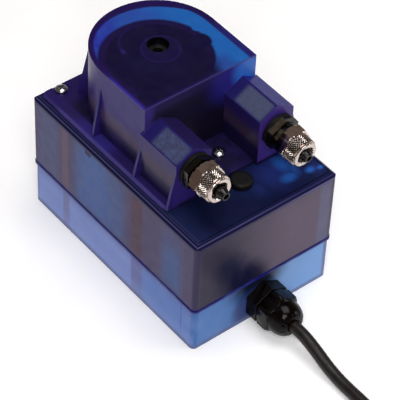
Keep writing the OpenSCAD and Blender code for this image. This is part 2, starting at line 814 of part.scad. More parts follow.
module terminal_block() color([0.15, 0.50, 0.25]) {
    translate([8, -49, board_top + 0.02]) difference() {
        cube([15, 8, 10]);
        for (i = [0 : 2]) translate([2.5 + 5 * i, 4, 6]) cylinder(h = 5, r = 1.5);
        for (i = [0 : 2]) translate([1.2 + 5 * i, -1, 1.5]) cube([2.6, 4, 3]);
    }
}

module trimmer_body() color([0.15, 0.30, 0.70]) {
    translate([trim_x - 4.8, trim_y - 4.8, board_top + 0.02]) difference() {
        cube([9.6, 9.6, 5]);
        translate([4.8, 4.8, 2]) cylinder(h = 5, r = 3 + run_gap);
    }
}

module trimmer_spindle() color([0.92, 0.90, 0.85]) {
    translate([trim_x, trim_y, board_top + 2.1]) difference() {
        union() {
            cylinder(h = 4, r = 3);
            cylinder(h = 19, r = 1.6);
        }
        translate([-2, -0.3, 18]) cube([4, 0.6, 2]);
    }
}

// ---- Cable gland and cord ----

module at_gland() {
    translate([0, gland_y, gland_z]) children();
}

module gland_body() color([0.04, 0.04, 0.045]) at_gland() {
    difference() {
        union() {
            disc_y(6, 6, gland_thread_r);
            hex_y(base_inset - 0.02, gland_hex_l + base_inset, gland_af);
            disc_y(0, gland_hex_l + 9, cap_thread_r);
        }
        disc_y(7, 30, gland_bore_r);
        // Seat for the seal
        disc_y(-gland_hex_l - 5, 5, 5.6);
    }
}

module gland_seal() color([0.10, 0.10, 0.10]) at_gland() {
    difference() {
        union() {
            disc_y(-gland_hex_l - 5.1, 5, 5.5);
            disc_y(-gland_hex_l - 10.1, 3.5, 5.5, 4.4);
        }
        disc_y(0, 30, cord_r + 0.04);
    }
}

// Cap nut: a hexagon that runs out into a dome
module gland_cap_nut() color([0.04, 0.04, 0.045]) at_gland() {
    dome_y = cap_at + cap_hex_l - 0.02;
    dome_l = cap_l - dome_y;
    dome_r = 8.7;
    mouth_r = 4.4;
    difference() {
        union() {
            hex_y(-cap_at, cap_hex_l, gland_af);
            rotate([90, 0, 0]) translate([0, 0, dome_y]) rotate_extrude()
                polygon(concat([[0, 0]], [for (t = [0 : 10 : 90])
                    [mouth_r + (dome_r - mouth_r) * cos(t), dome_l * sin(t)]], [[0, dome_l]]));
        }
        disc_y(-cap_at + 1, 10.4, cap_thread_r + run_gap);
        disc_y(-cap_at - 9, 1.6 + dome_l - 4, 5.7, 4.6);
        disc_y(-cap_at, 30, cap_hole_r);
    }
}

module inner_lead() color([0.10, 0.10, 0.10]) {
    disc_start = gland_y + 8;
    translate([0, 0, gland_z]) disc_y(disc_start, 24.9, cord_r);
    for (i = [0 : 2]) {
        x = (i - 1) * 1.7;
        knee = [x, disc_start + 4, gland_z];
        top = [10.5 + 5 * i, -52.5, board_top + 3];
        low = [10.5 + 5 * i, -52.5, gland_z + 14 - 2 * i];
        rod([x, disc_start - 1, gland_z], knee, 0.9);
        rod(knee, low, 0.9);
        rod(low, top, 0.9);
        rod(top, top + [0, 3.4, 0], 0.9);
        for (p = [knee, low, top]) translate(p) sphere(1, $fn = 24);
    }
}

module cord_lead() color([0.07, 0.06, 0.06]) cord_tube(cord_points, cord_r, 12);

// Outer shape of the coil, three layers high
module cord_coil() color([0.07, 0.06, 0.06]) {
    width = coil_out_r - coil_in_r;
    height = (coil_layers - 1) * turn_pitch;
    translate([coil_x, coil_y, 0.1]) rotate_extrude($fn = 96) translate([coil_in_r, cord_r]) {
        translate([0, -cord_r]) square([width, height + 2 * cord_r]);
        translate([-cord_r, 0]) square([width + 2 * cord_r, height]);
        for (x = [0, width], y = [0, height]) translate([x, y]) circle(cord_r);
    }
}

// The sheath ends on the coil, and the cores leave it as a triangle, the middle one on top
end_angle = -360 * cord_end_turn;
cord_end = [coil_x + cord_end_r * cos(end_angle), coil_y + cord_end_r * sin(end_angle), cord_end_z];
end_way = [sin(end_angle), -cos(end_angle), 0];
end_side = cross(end_way, [0, 0, 1]);
function core_start(i) = cord_end + 1.42 * (cos(210 - 120 * i) * end_side + [0, 0, sin(210 - 120 * i)]);
function core_end(i) = cord_end + core_l * end_way + core_spread * (1 - i) * -end_side
    + [0, 0, core_rest_z - cord_end_z];

module cord_cores() color([0.45, 0.25, 0.12]) {
    for (i = [0 : 2]) rod(core_start(i), core_end(i), core_r);
}

module core_ferrules() color([0.80, 0.80, 0.82]) {
    for (i = [0 : 2]) {
        way = unit(core_end(i) - core_start(i));
        end = core_end(i) + way * 0.02;
        rod(end, end + way * 3, 1.5);
        rod(end + way * 2.9, end + way * ferrule_l, 0.75);
    }
}

base_shell();
upper_shell();
lid();
pump_head();
head_screws();
case_screws();
rotor_carrier();
rotor_cap();
roller_pins();
roller(0);  // roller_a
roller(1);  // roller_b
roller(2);  // roller_c
hose();
hose_fitting_left();
hose_fitting_right();
seal_ring_left();
seal_ring_right();
knurled_nut_left();
knurled_nut_right();
blanking_plug();
output_shaft();
output_gear();
idler_gear();
idler_axle();
motor_pinion();
gearbox_case();
gearbox_cover();
gearbox_screws();
motor_can();
motor_magnets();
motor_end_cap();
armature();
motor_shaft();
commutator();
circuit_board();
board_screws();
transformer();
relay();
capacitor();
terminal_block();
trimmer_body();
trimmer_spindle();
gland_body();
gland_seal();
gland_cap_nut();
inner_lead();
cord_lead();
cord_coil();
cord_cores();
core_ferrules();
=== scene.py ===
"""Looks of a peristaltic dosing pump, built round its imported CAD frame.

Everything is in metres in the frame's own axes: +X is the width, the front faces -Y, and +Z is up.
Lengths that read better in millimetres are written as a number times MM.
"""
import math

import bmesh
import bpy
from mathutils import Matrix, Vector


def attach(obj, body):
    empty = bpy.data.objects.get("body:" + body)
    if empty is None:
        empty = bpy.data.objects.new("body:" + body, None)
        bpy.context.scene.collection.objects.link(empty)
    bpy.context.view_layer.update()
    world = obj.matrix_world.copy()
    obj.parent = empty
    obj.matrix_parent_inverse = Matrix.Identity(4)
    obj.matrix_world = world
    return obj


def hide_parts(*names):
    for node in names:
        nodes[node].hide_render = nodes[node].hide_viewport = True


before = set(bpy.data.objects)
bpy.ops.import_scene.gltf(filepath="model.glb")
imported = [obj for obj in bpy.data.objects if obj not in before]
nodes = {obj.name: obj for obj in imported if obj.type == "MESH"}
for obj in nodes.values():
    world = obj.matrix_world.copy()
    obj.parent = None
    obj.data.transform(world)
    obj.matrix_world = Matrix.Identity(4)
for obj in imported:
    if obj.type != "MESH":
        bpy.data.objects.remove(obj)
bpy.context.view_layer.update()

MM = 0.001
scene = bpy.context.scene


# ---- Camera, floor and light ----

CAMERA_TARGET = Vector((-3.33, -18.14, 40)) * MM
CAMERA_DISTANCE = 0.9578
CAMERA_AZIMUTH = -40.42      # degrees round +Z, where 0 looks along +Y
CAMERA_ELEVATION = 44.91
CAMERA_ROLL = 2.84
CAMERA_LENS = 189.64         # mm on a 36 mm sensor


def make_camera():
    turn = math.radians(CAMERA_AZIMUTH)
    rise = math.radians(CAMERA_ELEVATION)
    roll = math.radians(CAMERA_ROLL)
    back = Vector((math.sin(turn) * math.cos(rise), -math.cos(turn) * math.cos(rise), math.sin(rise)))
    level = Vector((0, 0, 1)).cross(back).normalized()
    upright = back.cross(level)
    right = level * math.cos(roll) + upright * math.sin(roll)
    up = upright * math.cos(roll) - level * math.sin(roll)
    data = bpy.data.cameras.new("camera")
    data.lens = CAMERA_LENS
    data.sensor_width = 36
    data.clip_start = 0.01
    camera = bpy.data.objects.new("camera", data)
    matrix = Matrix((right, up, back)).transposed().to_4x4()
    matrix.translation = CAMERA_TARGET + back * CAMERA_DISTANCE
    camera.matrix_world = matrix
    scene.collection.objects.link(camera)
    scene.camera = camera


def area_light(name, place, size, power, colour=(1, 1, 1), target=(0, -0.01, 0.05)):
    data = bpy.data.lights.new(name, "AREA")
    data.shape = "RECTANGLE"
    data.size, data.size_y = size
    data.energy = power
    data.color = colour
    lamp = bpy.data.objects.new(name, data)
    lamp.location = place
    lamp.rotation_euler = (Vector(place) - Vector(target)).to_track_quat("Z", "Y").to_euler()
    scene.collection.objects.link(lamp)


def make_studio():
    world = bpy.data.worlds.new("studio")
    world.use_nodes = True
    tree = world.node_tree
    coords = tree.nodes.new("ShaderNodeTexCoord")
    split = tree.nodes.new("ShaderNodeSeparateXYZ")
    ramp = tree.nodes.new("ShaderNodeValToRGB")
    ramp.color_ramp.elements[0].position = 0.1
    ramp.color_ramp.elements[0].color = (0.42, 0.42, 0.43, 1)
    ramp.color_ramp.elements[1].position = 0.6
    ramp.color_ramp.elements[1].color = (0.15, 0.12, 0.1, 1)
    tree.links.new(coords.outputs["Generated"], split.inputs[0])
    tree.links.new(split.outputs["Z"], ramp.inputs[0])
    tree.links.new(ramp.outputs[0], tree.nodes["Background"].inputs["Color"])
    scene.world = world
    area_light("key", (-0.5, -0.6, 0.9), (0.45, 0.45), 6)
    area_light("top", (0.1, -0.05, 1.2), (0.7, 0.7), 7.4)
    area_light("right_fill", (0.9, -0.7, 0.45), (0.4, 0.4), 1.7)
    mesh = bpy.data.meshes.new("floor")
    half = 3
    corners = [(-half, -half, 0), (half, -half, 0), (half, half, 0), (-half, half, 0)]
    mesh.from_pydata(corners, [], [(0, 1, 2, 3)])
    floor = bpy.data.objects.new("floor", mesh)
    floor.location.z = -0.02 * MM
    scene.collection.objects.link(floor)
    return floor


# ---- Cord: 1.5 m of 6 mm round flex, all lengths in millimetres ----

CORD_R = 3
# The lead runs out of the gland, down to the floor and on to the coil's outer turn
LEAD = [(0, -78, 10.6), (0, -85, 10.6), (0, -92, 10), (0, -99, 8), (0, -106, 5.4), (0, -113, 3.7),
        (0, -120, 3.1), (0, -130, 3.1), (0, -144, 3.1), (0, -158, 3.1), (0, -172, 3.1)]
FLOOR_Z = 3.1                # height of the centre of a cord that lies on the floor
TURN_PITCH = 6.2
COIL_OUT_R = 39.2
COIL_IN_R = 26
COIL_X = -COIL_OUT_R
COIL_Y = -172
COIL_TURNS = 6.82
CLIMB = 0.3                  # turns over which the cord climbs from one layer to the next
STEPS_PER_TURN = 36
CORE_R = 1.2
CORE_LENGTH = 12
CORE_SPREAD = 4
CORE_OFFSET = 1.42           # from the sheath's centre to a core's
CORE_REST_Z = 13.6
CORE_COLOURS = {"brown": (70, 38, 20), "green": (70, 130, 40), "blue": (40, 90, 190)}


def smooth(t):
    return t * t * (3 - 2 * t)


def coil_stages():
    """Stretches of the coil: turns, radius at both ends, height at both ends."""
    spiral = (COIL_OUT_R - COIL_IN_R) / TURN_PITCH
    low, middle, high = (FLOOR_Z + TURN_PITCH * layer for layer in range(3))
    last = COIL_TURNS - 2 * spiral - 2 * CLIMB
    return [(spiral, COIL_OUT_R, COIL_IN_R, low, low),
            (CLIMB, COIL_IN_R, COIL_IN_R, low, middle),
            (spiral, COIL_IN_R, COIL_OUT_R, middle, middle),
            (CLIMB, COIL_OUT_R, COIL_OUT_R, middle, high),
            (last, COIL_OUT_R, COIL_OUT_R - last * TURN_PITCH, high, high)]


def coil_points():
    """A spiral in on the floor, one out on top of it and a third one in, clockwise from above."""
    points = []
    done = 0
    for turns, r_start, r_end, z_start, z_end in coil_stages():
        steps = math.ceil(turns * STEPS_PER_TURN)
        for i in range(1, steps + 1):
            t = i / steps
            angle = -2 * math.pi * (done + turns * t)
            radius = r_start + (r_end - r_start) * t
            height = z_start + (z_end - z_start) * smooth(t)
            points.append((COIL_X + radius * math.cos(angle), COIL_Y + radius * math.sin(angle), height))
        done += turns
    return points


def curved(points, steps):
    """Catmull-Rom points through a route."""
    line = [Vector(p) for p in points]
    out = []
    for i in range(len(line) - 1):
        before = line[i - 1] if i else line[0] * 2 - line[1]
        a, b = line[i], line[i + 1]
        after = line[i + 2] if i + 2 < len(line) else b * 2 - a
        for k in range(steps):
            t = k / steps
            out.append(0.5 * (2 * a + (b - before) * t + (2 * before - 5 * a + 4 * b - after) * t * t
                              + (3 * a - before - 3 * b + after) * t ** 3))
    out.append(line[-1])
    return out


def tube(name, points, radius, resolution=4):
    """A round curve of one open spline through points."""
    data = bpy.data.curves.new(name, "CURVE")
    data.dimensions = "3D"
    data.bevel_depth = radius * MM
    data.bevel_resolution = resolution
    data.use_fill_caps = True
    spline = data.splines.new("POLY")
    spline.points.add(len(points) - 1)
    for point, place in zip(spline.points, points):
        point.co = (*(Vector(place) * MM), 1)
    spline.use_smooth = True
    piece = bpy.data.objects.new(name, data)
    scene.collection.objects.link(piece)
    return piece


def make_cores():
    """The three bared cores lie on the turns below the sheath's end."""
    end = Vector(coil_points()[-1])
    angle = -2 * math.pi * COIL_TURNS
    way = Vector((math.sin(angle), -math.cos(angle), 0))
    side = way.cross(Vector((0, 0, 1)))
    cores = []
    for i, colour in enumerate(CORE_COLOURS):
        turn = math.radians(210 - 120 * i)
        start = end + CORE_OFFSET * (math.cos(turn) * side + math.sin(turn) * Vector((0, 0, 1)))
        tip = end + CORE_LENGTH * way + CORE_SPREAD * (i - 1) * side
        tip.z = CORE_REST_Z
        straight = (tip - start).normalized()
        bend = start + way * 3 + (tip - start) * 0.12
        route = [start - way * 1.5, start, bend, tip - straight * 3, tip]
        cores.append(tube("core_" + colour, curved(route, 4), CORE_R))
    return cores


def make_coil_tie(angle=-2.6, width=6, thickness=0.6):
    """A fabric strap round the coil's turns."""
    middle = (COIL_OUT_R + COIL_IN_R) / 2
    half_w = (COIL_OUT_R - COIL_IN_R) / 2 + CORD_R
    top = FLOOR_Z + 2 * TURN_PITCH + CORD_R
    corner = CORD_R
    outline = []
    for cx, cz, start in ((1, 1, 0), (-1, 1, 90), (-1, -1, 180), (1, -1, 270)):
        for k in range(7):
            a = math.radians(start + 15 * k)
            z0 = top - corner if cz > 0 else corner + 0.3
            outline.append((cx * (half_w - corner) + corner * math.cos(a), z0 + corner * math.sin(a)))
    out = Vector((math.cos(angle), math.sin(angle), 0))
    along = Vector((-out.y, out.x, 0))
    mesh = bmesh.new()
    rings = []
    for r, z in outline:
        normal = Vector((r, 0, z - top / 2)).normalized()
        ring = []
        for w, t in ((-1, 0), (1, 0), (1, 1), (-1, 1)):
            rr = middle + r + normal.x * t * thickness
            zz = max(z + normal.z * t * thickness, 0.02)
            place = Vector((COIL_X, COIL_Y, zz)) + out * rr + along * w * width / 2
            ring.append(mesh.verts.new(place * MM))
        rings.append(ring)
    for i, ring in enumerate(rings):
        after = rings[(i + 1) % len(rings)]
        for k in range(4):
            mesh.faces.new((ring[k], ring[(k + 1) % 4], after[(k + 1) % 4], after[k]))
    return finished_mesh("coil_tie", mesh, 50)


def finished_mesh(name, mesh, sharp_angle=35):
    """Turns a bmesh into a linked object, smooth except where faces meet at more than sharp_angle."""
    bmesh.ops.recalc_face_normals(mesh, faces=mesh.faces)
    limit = math.radians(sharp_angle)
    for face in mesh.faces:
        face.smooth = True
    for edge in mesh.edges:
        edge.smooth = len(edge.link_faces) == 2 and edge.calc_face_angle(0) < limit
    data = bpy.data.meshes.new(name)
    mesh.to_mesh(data)
    mesh.free()
    piece = bpy.data.objects.new(name, data)
    scene.collection.objects.link(piece)
    return piece


def make_cord():
    return tube("power_cord", curved(LEAD, 3) + coil_points(), CORD_R)


# ---- Turned pieces ----

def hexagon(angle, across, corner):
    """Distance from the middle of a hexagon to its side. corner is the angle of one of its corners."""
    part = (angle - corner) % (math.pi / 3) - math.pi / 6
    return across / 2 / math.cos(part)


def turned(name, rings, sides, place, axis, closed=True, sharp_angle=35):
    """A turned piece. Each ring is (distance along the axis, radius), and a radius may be a function
    of the angle. Angle 0 points up for a level axis. A closed piece joins its last ring to its first."""
    axis = Vector(axis).normalized()
    side = axis.orthogonal() if abs(axis.z) > 0.9 else axis.cross(Vector((0, 0, 1)))
    side.normalize()
    up = side.cross(axis)
    mesh = bmesh.new()
    loops = []
    for along, radius in rings:
        loop = []
        for k in range(sides):
            angle = 2 * math.pi * k / sides
            r = radius(angle) if callable(radius) else radius
            out = up * math.cos(angle) + side * math.sin(angle)
            loop.append(mesh.verts.new((Vector(place) + axis * along + out * r) * MM))
        loops.append(loop)
    pairs = list(zip(loops, loops[1:]))
    if closed:
        pairs.append((loops[-1], loops[0]))
    for a, b in pairs:
        for k in range(sides):
            mesh.faces.new((a[k], a[(k + 1) % sides], b[(k + 1) % sides], b[k]))
    if not closed:
        mesh.faces.new(loops[0])
        mesh.faces.new(loops[-1])
    return finished_mesh(name, mesh, sharp_angle)


def arc(centre_along, centre_r, radius, start, end, steps):
    """Rings of a round edge; angles in degrees, 0 along the axis and 90 outwards."""
    out = []
    for i in range(steps + 1):
        a = math.radians(start + (end - start) * i / steps)
        out.append((centre_along + radius * math.cos(a), centre_r + radius * math.sin(a)))
    return out


def limited(across, corner, limit):
    """A hexagonal ring whose corners are turned down to a radius."""
    return lambda angle: min(hexagon(angle, across, corner), limit)


# For each port: the middle of its socket's face, its tilt in degrees, and how far out its nut starts
PORTS = {
    "left": ((-23.1, -36.2, 86), 0, 6.1),
    "right": ((23.1, -36.2 - 8.3 * math.sin(math.radians(4.3)), 84.2), 4.3, 8),
}
NUT_AF = 15
NUT_HEX_L = 5.5
NUT_LENGTH = 11.9
NUT_KNURL_R = 6.9
NUT_RING_R = 6.25
NUT_RING_L = 1.3
NUT_HOLE_R = 4.2
NUT_BORE_R = 5.96
NUT_BORE_L = 10.3
KNURL_COUNT = 36
KNURL_DEPTH = 0.36
KNURL_STEPS = 8              # mesh steps across one diamond


def knurl(along):
    """Radius of a diamond knurl at a distance along it, as a function of the angle."""
    pitch = 2 * math.pi * NUT_KNURL_R / KNURL_COUNT

    def radius(angle):
        u = angle * KNURL_COUNT / (2 * math.pi)
        v = along / pitch
        height = 1 - max(abs(2 * ((u + v) % 1) - 1), abs(2 * ((u - v) % 1) - 1))
        return NUT_KNURL_R - KNURL_DEPTH * (1 - min(1, height * 1.7))
    return radius


def mark_grooves(nut, place, axis, start, end):
    """Stores how deep each point of the knurl lies, for its material: 0 on a ridge, 1 at the bottom."""
    marks = nut.data.attributes.new("groove", "FLOAT", "POINT")
    for i, vertex in enumerate(nut.data.vertices):
        offset = vertex.co - place
        along = offset.dot(axis)
        radius = (offset - axis * along).length / MM
        inside = start <= along <= end and radius > NUT_BORE_R + 0.1
        marks.data[i].value = min(1, max(0, (NUT_KNURL_R - radius) / KNURL_DEPTH)) if inside else 0


def make_nut(side):
    place, tilt, start = PORTS[side]
    axis = Vector((0, -math.cos(math.radians(tilt)), -math.sin(math.radians(tilt))))
    flat_up = math.pi / 6
    wide = NUT_AF / 2 / math.cos(math.pi / 6)
    rings = [(0, limited(NUT_AF, flat_up, NUT_AF / 2 + 0.1)), (0.7, limited(NUT_AF, flat_up, wide)),
             (NUT_HEX_L - 0.4, limited(NUT_AF, flat_up, wide)),
             (NUT_HEX_L - 0.05, limited(NUT_AF, flat_up, NUT_AF / 2 + 0.25)),
             (NUT_HEX_L, NUT_KNURL_R - KNURL_DEPTH - 0.1)]
    knurl_start = NUT_HEX_L + 0.15
    knurl_end = NUT_LENGTH - NUT_RING_L - 0.25
    pitch = 2 * math.pi * NUT_KNURL_R / KNURL_COUNT
    count = round((knurl_end - knurl_start) / pitch * KNURL_STEPS)
    for i in range(count + 1):
        along = knurl_start + (knurl_end - knurl_start) * i / count
        rings.append((along, knurl(pitch * i / KNURL_STEPS)))
    rings.append((knurl_end + 0.1, NUT_RING_R - 0.35))
    rings += arc(NUT_LENGTH - 0.45, NUT_RING_R - 0.45, 0.45, 130, 0, 6)
    rings += [(NUT_LENGTH, NUT_HOLE_R + 0.35), (NUT_LENGTH - 0.3, NUT_HOLE_R), (NUT_BORE_L, NUT_HOLE_R),
              (NUT_BORE_L, NUT_BORE_R), (0.5, NUT_BORE_R), (0, NUT_BORE_R + 0.4)]
    place = Vector(place) + axis * start
    nut = turned("hose_nut_" + side, rings, KNURL_COUNT * KNURL_STEPS, place, axis, sharp_angle=14)
    mark_grooves(nut, place * MM, axis, knurl_start * MM, knurl_end * MM)
    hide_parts("knurled_nut_" + side)
    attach(nut, "nut_" + side)
    return nut


GLAND = (0, -61, 10.6)
GLAND_AF = 18
CAP_START = 6.5
CAP_HEX_L = 8
CAP_LENGTH = 22.6
CAP_DOME_R = 8.7
CAP_MOUTH_R = 4.4
CAP_HOLE_R = 3.3
CAP_SEAL_R = 5.4
CAP_BORE_R = 6.96
CAP_FLUTES = 12


def make_gland_cap():
    """Cap nut of the gland: a hexagon with turned corners, and a dome with flutes near its mouth."""
    wide = GLAND_AF / 2 / math.cos(math.pi / 6)
    hex_end = CAP_START + CAP_HEX_L
    dome_length = CAP_LENGTH - hex_end
    corner_rings = [(CAP_START, GLAND_AF / 2 - 0.1), (CAP_START + 0.9, wide), (hex_end - 1.6, wide),
                    (hex_end - 0.8, wide - 0.55), (hex_end, GLAND_AF / 2 - 0.05)]
    rings = [(along, limited(GLAND_AF, 0, limit)) for along, limit in corner_rings]
    rings.append((hex_end + 0.25, CAP_DOME_R))

    def fluted(radius, share):
        return lambda angle: radius - share * 0.2 * max(0, math.cos(CAP_FLUTES * angle)) ** 2

    steps = 22
    flute_start = 11
    for i in range(1, steps + 1):
        t = math.pi / 2 * i / steps
        radius = CAP_MOUTH_R + (CAP_DOME_R - CAP_MOUTH_R) * math.cos(t)
        share = math.sin(math.pi * min(1, max(0, (i - flute_start) / (steps - flute_start - 1))))
        rings.append((hex_end + 0.25 + (dome_length - 0.5) * math.sin(t), fluted(radius, share)))
    rings += [(CAP_LENGTH, CAP_MOUTH_R - 0.25), (CAP_LENGTH, CAP_HOLE_R + 0.35),
              (CAP_LENGTH - 0.3, CAP_HOLE_R), (CAP_LENGTH - 4, CAP_HOLE_R),
              (CAP_LENGTH - 4.2, CAP_SEAL_R), (CAP_START + 0.4, CAP_BORE_R)]
    cap = turned("gland_cap", rings, 144, GLAND, (0, -1, 0))
    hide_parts("gland_cap_nut")
    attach(cap, "gland_nut")
    return cap


PLUG_SPOT = (1, -40.5, 66.05)
PLUG_R = 5.3
PLUG_H = 2.9
PLUG_STEM_R = 4.04
PLUG_STEM_L = 4


def make_plug():
    """Rubber blanking plug with a softly domed head."""
    rings = [(-PLUG_STEM_L, 0.3), (-PLUG_STEM_L, PLUG_STEM_R - 0.5), (-PLUG_STEM_L + 0.5, PLUG_STEM_R),
             (0, PLUG_STEM_R), (0, PLUG_R - 0.3)]
    rings += arc(0.5, PLUG_R - 0.5, 0.5, 180, 90, 3)[1:]
    rings += arc(PLUG_H - 1.2, PLUG_R - 1.3, 1.2, 80, 12, 6)
    rings += [(PLUG_H - 0.02, PLUG_R - 1.9), (PLUG_H, 1.5), (PLUG_H, 0.3)]
    plug = turned("sealing_plug", rings, 64, PLUG_SPOT, (0, 0, 1), closed=False)
    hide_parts("blanking_plug")
    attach(plug, "plug")
    return plug


def round_edges(name, width, angle=35, segments=2):
    """Softens a CAD node's edges without touching its mesh."""
    piece = nodes[name]
    weld = piece.modifiers.new("weld", "WELD")
    weld.merge_threshold = 0.002 * MM
    flat = piece.modifiers.new("flat", "DECIMATE")
    flat.decimate_type = "DISSOLVE"
    flat.angle_limit = math.radians(0.6)
    bevel = piece.modifiers.new("bevel", "BEVEL")
    bevel.width = width * MM
    bevel.segments = segments
    bevel.limit_method = "ANGLE"
    bevel.angle_limit = math.radians(angle)
    bevel.use_clamp_overlap = True
    bevel.harden_normals = False
    normal = piece.modifiers.new("normal", "WEIGHTED_NORMAL")
    normal.keep_sharp = False


# ---- Materials ----

# Places in millimetres that the painted looks follow
HALF_WIDTH = 40
HALF_LENGTH = 61
ROTOR_Y = 19.7
HUB_HOLE_R = 5
SOCKET_X = 23.1
BACK_RIB = (33, 38)
FRONT_RIB = (-22.7, -14.6)
CORNER_POST_LINE = (-51.9, -51.1)


def srgb(red, green, blue):
    """A colour given as 0 to 255 per channel, as a linear one."""
    def linear(c):
        c /= 255
        return c / 12.92 if c <= 0.04045 else ((c + 0.055) / 1.055) ** 2.4
    return (linear(red), linear(green), linear(blue), 1)


class Finish:
    """One material: a Principled shader and short calls that build the nodes in front of it."""

    def __init__(self, name, **values):
        self.material = bpy.data.materials.new(name)
        self.material.use_nodes = True
        self.tree = self.material.node_tree
        self.shader = self.tree.nodes["Principled BSDF"]
        for key, value in values.items():
            self.shader.inputs[key.replace("_", " ").title().replace("Ior", "IOR")].default_value = value
        coords = self.add("TexCoord")
        scaled = self.add("VectorMath", operation="SCALE")
        self.link(coords.outputs["Object"], scaled.inputs[0])
        scaled.inputs["Scale"].default_value = 1 / MM
        self.mm = scaled.outputs[0]
        self.x, self.y, self.z = self.split(self.mm)
        self.nx, self.ny, self.nz = self.split(coords.outputs["Normal"])

    def add(self, kind, **settings):
        node = self.tree.nodes.new("ShaderNode" + kind)
        for key, value in settings.items():
            setattr(node, key, value)
        return node

    def link(self, value, socket):
        if isinstance(value, bpy.types.NodeSocket):
            self.tree.links.new(value, socket)
        else:
            socket.default_value = value

    def split(self, vector):
        node = self.add("SeparateXYZ")
        self.link(vector, node.inputs[0])
        return node.outputs

    def set(self, socket, value):
        self.link(value, self.shader.inputs[socket])

    def math(self, operation, *values, clamp=False):
        node = self.add("Math", operation=operation, use_clamp=clamp)
        for value, socket in zip(values, node.inputs):
            self.link(value, socket)
        return node.outputs[0]

    def ramp(self, value, start, end, low=0.0, high=1.0):
        """A smooth step from low to high as value goes from start to end."""
        node = self.add("MapRange", interpolation_type="SMOOTHSTEP")
        if start > end:
            start, end, low, high = end, start, high, low
        parts = {"Value": value, "From Min": start, "From Max": end, "To Min": low, "To Max": high}
        for key, part in parts.items():
            self.link(part, node.inputs[key])
        return node.outputs[0]

    def band(self, value, low, high, soft):
        """1 between low and high, with soft edges."""
        up = self.ramp(value, low - soft, low + soft)
        return self.times(up, self.ramp(value, high + soft, high - soft))

    def times(self, *values):
        out = values[0]
        for value in values[1:]:
            out = self.math("MULTIPLY", out, value)
        return out

    def most(self, *values):
        out = values[0]
        for value in values[1:]:
            out = self.math("MAXIMUM", out, value)
        return out

    def size(self, value):
        return self.math("ABSOLUTE", value)

    def far(self, *parts):
        """Distance in mm. Each part is (axis, centre, stretch)."""
        total = None
        for axis, centre, stretch in parts:
            offset = self.math("DIVIDE", self.math("SUBTRACT", axis, centre), stretch)
            square = self.math("MULTIPLY", offset, offset)
            total = square if total is None else self.math("ADD", total, square)
        return self.math("SQRT", total)

    def spot(self, x, y, radius, soft, wide=1, long=1):
        """A round patch seen from above."""
        return self.ramp(self.far((self.x, x, wide), (self.y, y, long)), radius + soft, radius - soft)

    def mix(self, factor, first, second, blend="MIX"):
        node = self.add("Mix", data_type="RGBA", blend_type=blend)
        self.link(factor, node.inputs["Factor"])
        self.link(first, node.inputs[6])
        self.link(second, node.inputs[7])
        return node.outputs[2]

    def layers(self, colour, *coats):
        """Lays (share, colour) coats over a colour, one after another."""
        for share, coat in coats:
            colour = self.mix(share, colour, coat)
        return colour

    def noise(self, size, detail=2.0, stretch=(1, 1, 1)):
        """Noise with lumps about size millimetres across. It is turned, so no face lies in a plane
        of its lattice, and only a little where it is stretched."""
        node = self.add("TexNoise")
        place = self.add("Mapping")
        even = stretch == (1, 1, 1)
        place.inputs["Rotation"].default_value = (0.4, 0.7, 0.2) if even else (0.02, 0.03, 0.01)
        place.inputs["Scale"].default_value = [1 / (size * s) for s in stretch]
        self.link(self.mm, place.inputs["Vector"])
        self.link(place.outputs[0], node.inputs["Vector"])
        node.inputs["Scale"].default_value = 1
        node.inputs["Detail"].default_value = detail
        return node.outputs["Fac"]

    def bump(self, height, distance, strength=1.0):
        """Relief: a height from 0 to 1 stands for a distance in millimetres."""
        node = self.add("Bump")
        node.inputs["Strength"].default_value = strength
        node.inputs["Distance"].default_value = distance * MM
        self.link(height, node.inputs["Height"])
        self.set("Normal", node.outputs[0])

    def moulded(self, low=0.29, high=0.4):
        """Faint orange peel and smears of a moulded plastic surface."""
        self.set("Roughness", self.ramp(self.noise(5, 4), 0.3, 0.7, low, high))
        self.bump(self.noise(4, 1), 0.03)


